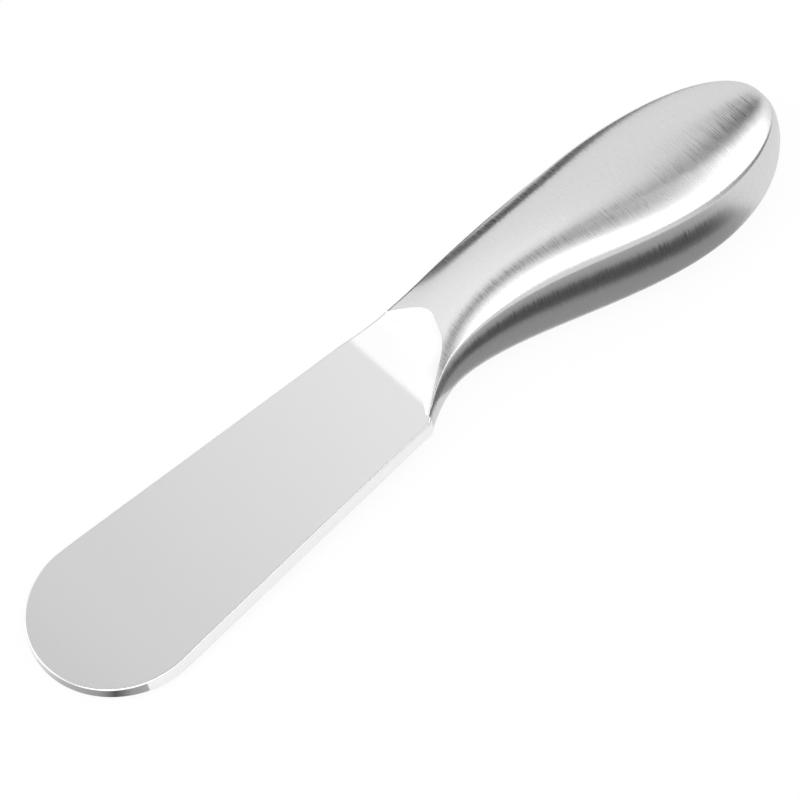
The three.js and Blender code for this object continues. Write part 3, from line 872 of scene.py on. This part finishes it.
# %% [markdown]
# ## The neck welds
# Where the blade's plate goes into the handle, a fillet weld runs along the arched mouth, above
# and below. It was dressed to a hollow curve that leads the eye from the plate to the handle. A
# bevel between plate and handle would need them fused, and they are separate pieces. So one grid
# follows the mouth's own rule and is wrapped round the fillet's section: from the lip down the
# hollow to the toe, back along the plate and up the heel. It fades out at both feet.

# %% The neck weld's grid
FILLET_AIM = (-10.0, 7.0, 0.0)
FILLET_LEAST = 0.9
FILLET_REACH = 1.6
FILLET_HOLLOW = 2.0
FILLET_GAP = 0.02
FILLET_STEPS = 120
FILLET_ROWS = 12
SOLE_ROWS = 10
FILLET_TAPER = 0.86
FILLET_END = 0.999
FILLET_FADE = 0.9975
LAST_ROW = FILLET_ROWS + SOLE_ROWS + 3

tree, size = begin_tree(
    "neck weld",
    {
        "Steps": FILLET_STEPS,
        "Least": FILLET_LEAST,
        "Reach": FILLET_REACH,
        "Hollow": FILLET_HOLLOW,
        "Gap": FILLET_GAP,
        "Lip": DRESSED_LIP,
        "Mirror": 1.0,
        "Steel": weld_steel,
    },
)
steps = add(tree, MATH, [size["Steps"], 1], operation="ADD")
grid = add(tree, GRID, [1, 1, steps, LAST_ROW + 1])
u_v = add(tree, SEPARATE, [grid.outputs["UV Map"]])
way = add(tree, MATH, [u_v.outputs[0], math.pi], operation="MULTIPLY")
way = add(tree, MATH, [way], operation="COSINE")
across = add(tree, MATH, [way, FILLET_END], operation="MULTIPLY")
row = add(tree, MATH, [u_v.outputs[1], LAST_ROW], operation="MULTIPLY")
print(f"neck weld: {FILLET_STEPS} steps along the mouth, {LAST_ROW + 1} points round")

# %% Places on the lip and on the plate
def off_lip(inset):
    lip = add(tree, GROUP, {"Across": across, "Inset": inset}, node_tree=crown_law)
    aside = add(tree, VECTOR, [FILLET_AIM, lip], operation="SUBTRACT")
    level = add(tree, VECTOR, [aside, (1, 1, 0)], operation="MULTIPLY")
    forward = add(tree, VECTOR, [level], operation="NORMALIZE")
    step = add(tree, VECTOR, {"Vector": forward, "Scale": size["Gap"]}, operation="SCALE")
    return add(tree, VECTOR, [lip, step], operation="ADD"), forward


def on_plate(place, above):
    plan = add(tree, SEPARATE, [place])
    plate = add(tree, GROUP, {"X": plan.outputs["X"]}, node_tree=plate_law)
    height = add(tree, MATH, [plate, above], operation="ADD")
    return add(tree, COMBINE, [plan.outputs["X"], plan.outputs["Y"], height])


lip, forward = off_lip(0.0)
under, _ = off_lip(size["Lip"])
foot = add(tree, VECTOR, [lip, on_plate(lip, size["Gap"])], operation="SUBTRACT")
height = add(tree, SEPARATE, [foot]).outputs["Z"]
print(f"the fillet keeps {FILLET_GAP} mm off the lip and the plate")

# %% The neck weld's section
from_toe = add(tree, MATH, [row, FILLET_ROWS], operation="SUBTRACT")
from_toe = add(tree, MATH, [from_toe], operation="ABSOLUTE")
share = add(tree, MAP, [from_toe, 0, FILLET_ROWS, 1, 0])
from_middle = add(tree, MATH, [across], operation="ABSOLUTE")
tapering = [from_middle, FILLET_TAPER, FILLET_END, size["Least"], 0]
least = add(tree, MAP, tapering, interpolation_type="SMOOTHSTEP")
reach = add(tree, MATH, [height, size["Reach"], least], operation="MULTIPLY_ADD")
reach = add(tree, MATH, [reach, share], operation="MULTIPLY")
forward = add(tree, VECTOR, {"Vector": forward, "Scale": reach}, operation="SCALE")
left = add(tree, MAP, [row, 0, FILLET_ROWS, 1, 0])
left = add(tree, MATH, [left, size["Hollow"]], operation="POWER")
above = add(tree, MATH, [height, left, size["Gap"]], operation="MULTIPLY_ADD")
place = on_plate(add(tree, VECTOR, [lip, forward], operation="ADD"), above)
heel = on_plate(under, size["Gap"])
for corner, last in zip((lip, under, heel), (LAST_ROW, LAST_ROW - 1, LAST_ROW - 2)):
    is_corner = add(tree, MATH, [row, last, 0.5], operation="COMPARE")
    place = add(tree, MIX, [is_corner, place, corner], data_type="VECTOR")
full = [from_middle, FILLET_FADE, FILLET_END, 1, 0]
fullness = add(tree, MAP, full, interpolation_type="SMOOTHSTEP")
place = add(tree, MIX, [fullness, under, place], data_type="VECTOR")
moved = add(tree, MOVE, {"Geometry": grid, "Position": place})
fillet = finish_form(tree, size, [add(tree, FLIP, {"Mesh": moved})])
for half, mirror in (("upper", 1.0), ("lower", -1.0)):
    neck_weld = grow(f"dressed_{half}_neck_weld", fillet, {"Mirror": mirror})
    put_on(neck_weld, f"neck_weld_{half}")

# %% [markdown]
# ## The blade
# The blade is one forging: a round tip ground thinner, two straight edges, a shoulder, and a plate
# and a tang that run on into the handle. Past the grind, both faces of the plate climb in a hollow
# ramp towards the handle. A subdivided box would round the shoulder off, so the blade is a loft in
# mesh code: section after section along x, joined by quads. Its rim is broken in a small arc, and
# an extra row just inside that arc keeps the flat faces flat.

# %% Heights and edges of the blade
def ease(u):
    u = min(max(u, 0.0), 1.0)
    return u * u * (3 - 2 * u)


def half_height(x):
    if x < 0:
        return mix(TIP_THICKNESS, BLADE_THICKNESS, ease((x + BLADE_LENGTH) / TIP_TAPER)) / 2
    on_ramp = min(max(x - GRIND_FROM_SHOULDER, 0.0) / (ARCH_TOP - GRIND_FROM_SHOULDER), 1.0)
    return BLADE_THICKNESS / 2 + RAMP_RISE * on_ramp**RAMP_POWER


def neck_edge(side, x, inset):
    flare = max(1 - x / NECK_FROM_SHOULDER, 0.0) ** 2
    round_start = HANDLE_LENGTH - (SPINE_ROUND if side == SPINE else BELLY_ROUND)
    swell = ease((x - NECK_FROM_SHOULDER) / (round_start - NECK_FROM_SHOULDER))
    neck = NECK_OFFSET + side * (NECK_WIDTH / 2 - inset)
    at_shoulder = side * (SHOULDER_WIDTH / 2 - inset)
    at_belly = BELLY_OFFSET + side * (BELLY_WIDTH / 2 - inset)
    return mix(neck, at_shoulder, flare) + (at_belly - neck) * swell


print(f"the plate is {2 * half_height(ARCH_TOP):.2f} mm thick under the top of the arch")

# %% The tongue under the mouth
TONGUE_GAP = 0.05
BISECTIONS = 30


def wall_tuck(along):
    return mix(MOUTH_TUCK, WALL_TUCK, ease(along / TUCK_GROWS))


def lip_y(across):
    start = mix(RISE_BELLY, RISE_SPINE, (across + 1) / 2)
    along = (mouth_x(across) - start) / (HANDLE_LENGTH - start)
    inset = wall_tuck(along)
    edges = []
    for side, rise in ((BELLY, RISE_BELLY), (SPINE, RISE_SPINE)):
        edges.append(neck_edge(side, mix(rise, HANDLE_LENGTH - inset, along), inset))
    return mix(*edges, (across + 1) / 2)


def tongue_edge(side, x):
    reached, missed = ARCH_PEAK, side
    for _ in range(BISECTIONS):
        between = (reached + missed) / 2
        if mouth_x(between) + PLATE_UNDERLAP > x:
            reached = between
        else:
            missed = between
    wall = neck_edge(side, x, SHELL_THICKNESS + wall_tuck(x / HANDLE_LENGTH) + TONGUE_GAP)
    return side * min(side * lip_y(reached), side * wall)


tongue_width = tongue_edge(SPINE, ARCH_TOP) - tongue_edge(BELLY, ARCH_TOP)
print(f"the tongue is {tongue_width:.2f} mm wide under the top of the arch")

# %% One section of the blade
ARC_STEPS = 4
FLAT_MARGIN = 0.3

arc = [math.pi / 2 * k / ARC_STEPS for k in range(ARC_STEPS + 1)]
rim_steps = [(EDGE_BREAK + FLAT_MARGIN, 0.0)]
rim_steps += [(EDGE_BREAK * (1 - math.sin(a)), EDGE_BREAK * (1 - math.cos(a))) for a in arc]
rim = [(inset, lowered, 1) for inset, lowered in rim_steps]
rim += [(inset, lowered, -1) for inset, lowered in reversed(rim_steps)]


def section(place, half):
    spine = [Vector((*place(SPINE, inset), up * (half - lowered))) for inset, lowered, up in rim]
    belly = [Vector((*place(BELLY, inset), up * (half - lowered))) for inset, lowered, up in rim]
    return spine + belly[::-1]


print(len(rim), "points round each edge")

# %% Sections from the tip to the tang
TIP_STEPS = 48
TAPER_STEPS = 12
PLATE_STEPS = 40
SHOULDER_MARGIN = 0.2
STEP_GAP = 0.02
STEP_LENGTH = 2e-6
TANG_LENGTH = 30.0
TANG_WIDTH = 7.0
TANG_TAPER = 2.0


def tip_sections():
    centre = TIP_RADIUS - BLADE_LENGTH
    half = SHOULDER_WIDTH / 2
    tangent = math.atan2(half, -centre) + math.acos(TIP_RADIUS / math.hypot(centre, half))
    for k in range(TIP_STEPS + 1):
        angle = mix(math.pi, tangent, k / TIP_STEPS)

        def place(side, inset):
            reach = TIP_RADIUS - inset
            return centre + reach * math.cos(angle), side * reach * math.sin(angle)

        yield section(place, half_height(centre + TIP_RADIUS * math.cos(angle)))
    start_x = centre + TIP_RADIUS * math.cos(tangent)
    start_y = TIP_RADIUS * math.sin(tangent)
    taper_end = TIP_TAPER - BLADE_LENGTH
    tapered = [mix(start_x, taper_end, (k + 1) / TAPER_STEPS) for k in range(TAPER_STEPS)]
    for x in [*tapered, -SHOULDER_MARGIN]:
        width = mix(start_y, half, (x - start_x) / -start_x)
        yield section(lambda side, inset: (x, side * (width - inset)), half_height(x))


def plate_sections():
    step_at = {SPINE: MOUTH_SPINE - STEP_GAP, BELLY: MOUTH_BELLY - STEP_GAP}
    even = [PLATE_END * k / PLATE_STEPS for k in range(PLATE_STEPS + 1)]
    for x in sorted({*even, *step_at.values(), SHOULDER_MARGIN}):
        before, after = x - STEP_LENGTH / 2, x + STEP_LENGTH / 2
        for stepped in ((before, after) if x in step_at.values() else (x,)):

            def place(side, inset):
                if stepped > step_at[side]:
                    return x, tongue_edge(side, x) - side * inset
                return x, neck_edge(side, x, inset)

            yield section(place, half_height(x))


def tang_sections():
    for x, width in ((PLATE_END, TANG_WIDTH), (PLATE_END + TANG_LENGTH, TANG_WIDTH - TANG_TAPER)):

        def place(side, inset):
            return x, NECK_OFFSET + side * (width / 2 - inset)

        yield section(place, BLADE_THICKNESS / 2)


loops = [*tip_sections(), *plate_sections(), *tang_sections()]
print(len(loops), "sections of", len(loops[0]), "points")

# %% Loft the blade
RIM_SHARP_ANGLE = math.radians(26)


def loft(name, loops, is_rim):
    count = len(loops[0])
    points = [lay_down @ point for loop in loops for point in loop]
    faces, finishes = [], []
    for i in range(len(loops) - 1):
        for k in range(count):
            following = (k + 1) % count
            corners = (i * count + k, i * count + following)
            faces.append((*corners, corners[1] + count, corners[0] + count))
            finishes.append(int(is_rim(k)))
    faces.append(tuple(range((len(loops) - 1) * count, len(loops) * count)))
    finishes.append(0)
    mesh = bpy.data.meshes.new(name)
    mesh.from_pydata(points, [], faces)
    mesh.polygons.foreach_set("material_index", finishes)
    form = bmesh.new()
    form.from_mesh(mesh)
    bmesh.ops.remove_doubles(form, verts=form.verts, dist=MERGE_DISTANCE * MM)
    bmesh.ops.recalc_face_normals(form, faces=form.faces)
    form.to_mesh(mesh)
    form.free()
    mesh.shade_smooth()
    mesh.set_sharp_from_angle(angle=RIM_SHARP_ANGLE)
    piece = bpy.data.objects.new(name, mesh)
    bpy.context.collection.objects.link(piece)
    return piece


side_points = len(rim)
margin = (0, side_points - 2, side_points - 1)
blade = loft("ground_blade", loops, lambda k: k % side_points not in margin)
blade.data.materials.append(satin_steel)
blade.data.materials.append(rim_steel)
put_on(blade, "blade")

# %% [markdown]
# ## The white room
# Polished and brushed steel shows the room, so the room is what the eye sees: a white floor and
# white surroundings. More light would make the floor white too, but it would bleach the shadow and
# the steel. So the world is white to the eye and a little dimmer as a light, and the floor's paper
# glows to the camera, and about half as much in the steel, but still takes a faint shadow.

# %% The world
WORLD_FILL = 0.7

world = bpy.data.worlds.new("white_studio")
bpy.context.scene.world = world
world.use_nodes = True
tree = world.node_tree
tree.nodes.clear()
rays = add(tree, "ShaderNodeLightPath").outputs
seen = add(tree, MATH, [rays["Is Camera Ray"], rays["Is Glossy Ray"]], operation="MAXIMUM")
seen = add(tree, MATH, [seen, rays["Is Transmission Ray"]], operation="MAXIMUM")
level = add(tree, MAP, [seen, 0, 1, WORLD_FILL, 1])
background = add(tree, "ShaderNodeBackground", {"Color": linear("#ffffff"), "Strength": level})
add(tree, "ShaderNodeOutputWorld", [background])
print(f"{world.name}: shows as 1, lights as {WORLD_FILL}")

# %% The floor
FLOOR_HALF = 2.0
FLOOR_Z = -0.0001
GRAIN_SIZE = 10.0
PAPER_GLOW = 0.93
PAPER_GLOW_IN_STEEL = 0.5


def card(name, edge, far_edge, material):
    count = len(edge)
    faces = [(k, k + 1, count + k + 1, count + k) for k in range(count - 1)]
    mesh = bpy.data.meshes.new(name)
    mesh.from_pydata([*edge, *far_edge], [], faces)
    mesh.materials.append(material)
    plate = bpy.data.objects.new(name, mesh)
    bpy.context.collection.objects.link(plate)
    return plate


paper, tree = empty_material("matt_white_paper")
rays = add(tree, "ShaderNodeLightPath").outputs
grain = add(tree, NOISE, {"Scale": 2 * FLOOR_HALF / (GRAIN_SIZE * MM)})
white = add(tree, MIX, [grain, linear("#f4f4f4"), linear("#f8f8f8")], data_type="RGBA")
lit = add(tree, "ShaderNodeBsdfDiffuse", {"Color": white})
glow = add(tree, "ShaderNodeEmission", {"Color": linear("#ffffff"), "Strength": 1.0})
mirrored = [rays["Is Glossy Ray"], rays["Is Transmission Ray"]]
mirrored = add(tree, MATH, mirrored, operation="MAXIMUM")
mirrored = add(tree, MATH, [mirrored, PAPER_GLOW_IN_STEEL], operation="MULTIPLY")
share = add(tree, MATH, [rays["Is Camera Ray"], PAPER_GLOW, mirrored], operation="MULTIPLY_ADD")
add(tree, "ShaderNodeOutputMaterial", [add(tree, "ShaderNodeMixShader", [share, lit, glow])])
sides = (-FLOOR_HALF, FLOOR_HALF)
card("paper_floor", *[[(x, y, FLOOR_Z) for x in sides] for y in sides], paper)
print("floor", 2 * FLOOR_HALF, "m wide")

# %% [markdown]
# ## The soft box
# One long soft box hangs over the spreader, a little towards the belly side. A small lamp would
# give a spot and a sun a hard glint, but a long box gives the white band along the handle. It is as
# bright as that band needs and no brighter, so that the blade keeps its grey when it is seen from
# above.

# %% Hang the soft box
BOX_ANGLES = (-8, 36)
BOX_DISTANCE = 0.5
BOX_LENGTH = 1.4
BOX_LEVEL = 1.3


def toward(angle, distance, x):
    lean = math.radians(angle)
    return Vector((x, -distance * math.sin(lean), distance * math.cos(lean)))


box_middle = sum(BOX_ANGLES) / 2
box_half = math.radians(BOX_ANGLES[1] - box_middle)
box_width = 2 * BOX_DISTANCE * math.tan(box_half)
soft_box = bpy.data.lights.new("soft_box", "AREA")
soft_box.shape = "RECTANGLE"
soft_box.size = BOX_LENGTH
soft_box.size_y = box_width
soft_box.energy = BOX_LEVEL * math.pi * BOX_LENGTH * box_width
lamp = bpy.data.objects.new("soft_box", soft_box)
lamp.location = toward(box_middle, BOX_DISTANCE, 0)
lamp.rotation_euler = (math.radians(-box_middle), 0, 0)
lamp.visible_camera = False
bpy.context.collection.objects.link(lamp)
print(f"soft box {BOX_LENGTH} by {box_width:.2f} m, {soft_box.energy:.2f} W")

# %% [markdown]
# ## The flags, and painted shade on the floor
# The dark stripes that give the handle its form are reflections of flags, strips of dark or grey
# cloth that a photographer of cutlery hangs round it. Stripes painted on the handle would be
# quicker, but they would stay in place when the spreader turns, as no reflection does. A flag here
# is a strip of quads that holds its brightness at each point, so one material serves them all.
# Only reflections see it: it casts no shadow and lights nothing. One is brighter than the room,
# and whitens the hollow ramp in front of the mouth. The strips laid on the floor along the handle
# and round the tip are painted shade instead: they stand in for the spreader's shadow on the
# floor, as the steel reflects it.

# %% Cloth for the flags
cloth, tree = empty_material("flags_and_painted_shade")
level = add(tree, "ShaderNodeAttribute", attribute_name="level").outputs["Fac"]
glow = add(tree, "ShaderNodeEmission", {"Color": linear("#ffffff"), "Strength": level})
add(tree, "ShaderNodeOutputMaterial", [glow])


def flag(name, edge, far_edge, levels):
    hung = card(name, edge, far_edge, cloth)
    brightness = hung.data.attributes.new("level", "FLOAT", "POINT")
    brightness.data.foreach_set("value", [*levels, *levels])
    hung.visible_camera = False
    hung.visible_diffuse = False
    hung.visible_shadow = False
    hung.visible_transmission = False
    print(f"{name}: {len(levels)} stations, level {min(levels)} to {max(levels)}")


print(cloth.name, "glows by the level at each point")

# %% Flags overhead
SPINE_FLAG_DISTANCE = 0.4
FLAG_DISTANCE = 0.45
RAMP_CARD_DISTANCE = 0.47


# A station is x in metres, the strip's two edges in degrees from straight up towards the belly
# side, and its brightness.
def strip_flag(name, distance, stations):
    edge = [toward(low, distance, x) for x, low, high, level in stations]
    far_edge = [toward(high, distance, x) for x, low, high, level in stations]
    flag(name, edge, far_edge, [station[-1] for station in stations])


strip_flag(
    "stripe_flag",
    FLAG_DISTANCE,
    [
        (-0.2, -28, -9, 0.0),
        (-0.09, -22, -2, 0.0),
        (-0.056, -16, 5, 0.0),
        (0.0, -12, 13, 0.0),
        (0.1, -11, 14, 0.05),
        (0.15, -14, 8, 0.1),
        (0.24, -26, -8, 0.1),
        (0.37, -35, -20, 0.0),
        (0.5, -42, -23, 0.0),
        (0.8, -52, -30, 0.0),
    ],
)
strip_flag(
    "spine_flag",
    SPINE_FLAG_DISTANCE,
    [(-0.02, -95, -67, 0.0), (0.15, -95, -72, 0.0), (0.3, -95, -84, 0.2)],
)
strip_flag(
    "crease_flag",
    FLAG_DISTANCE,
    [
        (0.11, 36, 37, 0.6),
        (0.15, 26, 90, 0.7),
        (0.19, 21, 90, 0.6),
        (0.35, 24, 90, 0.4),
        (0.6, 36, 90, 0.1),
        (1.6, 40, 90, 0.05),
    ],
)
strip_flag(
    "ramp_card",
    RAMP_CARD_DISTANCE,
    [
        (-0.7, -75, -24, 1.3),
        (-0.12, -75, -22, 1.3),
        (-0.06, -40, -17, 1.35),
        (0.03, -27, -14, 1.35),
        (0.16, -27, -16, 1.3),
        (0.24, -32, -27, 1.0),
    ],
)

# %% Painted shade on the floor
SHADE_LIFT = 0.0001
FADE_STEPS = 24
FADE_POWER = 20
NEAR_END, DARK_END, FAR_END = 5.0, 11.6, 300.0
SPINE_STRIP = (1.0, 120.0)


def on_floor(x, y):
    place = lay_down @ Vector((x, y, 0))
    return (place.x, place.y, SHADE_LIFT)


# A strip of painted shade: the handle's shadow on the floor, as the steel reflects it. It keeps its
# distances from the handle's edge, and fades towards the end of its reach.
def floor_shade_strip(name, side, distances, reach, levels):
    shares = [k / FADE_STEPS for k in range(FADE_STEPS + 1)]
    places = [mix(*reach, share) for share in shares]
    edges = [[on_floor(x, neck_edge(side, x, -distance)) for x in places] for distance in distances]
    flag(name, *edges, [mix(*levels, share**FADE_POWER) for share in shares])


# Painted shade beside the belly wall and along the spine, seen only in the steel.
floor_shade_strip("near_painted_shade", BELLY, (0.0, NEAR_END), (9.0, 58.0), (0.36, 0.8))
floor_shade_strip("wall_painted_shade", BELLY, (NEAR_END, DARK_END), (5.0, 57.0), (0.08, 0.8))
floor_shade_strip("outer_painted_shade", BELLY, (DARK_END, FAR_END), (5.0, 57.0), (0.52, 0.8))
floor_shade_strip("spine_painted_shade", SPINE, SPINE_STRIP, (6.0, 40.0), (0.04, 0.6))

# %% Painted shade round the tip
TIP_SHADE_INSIDE = 1.0
TIP_SHADE_OUTSIDE = 4.0

# A station is a direction from the tip's centre in degrees, and the brightness there. The strip is
# painted shade: the shadow on the floor round the tip that rests on it, as the steel reflects it.
tip_stations = [(165, 0.8), (190, 0.5), (215, 0.35), (226, 0.1), (237, 0.35), (248, 0.45)]
tip_turns = [math.radians(turn) for turn, level in tip_stations]
tip_centre = TIP_RADIUS - BLADE_LENGTH
tip_edges = []
for radius in (TIP_RADIUS - TIP_SHADE_INSIDE, TIP_RADIUS + TIP_SHADE_OUTSIDE):
    arc = [(tip_centre + radius * math.cos(t), radius * math.sin(t)) for t in tip_turns]
    tip_edges.append([on_floor(x, y) for x, y in arc])
flag("tip_painted_shade", *tip_edges, [level for turn, level in tip_stations])
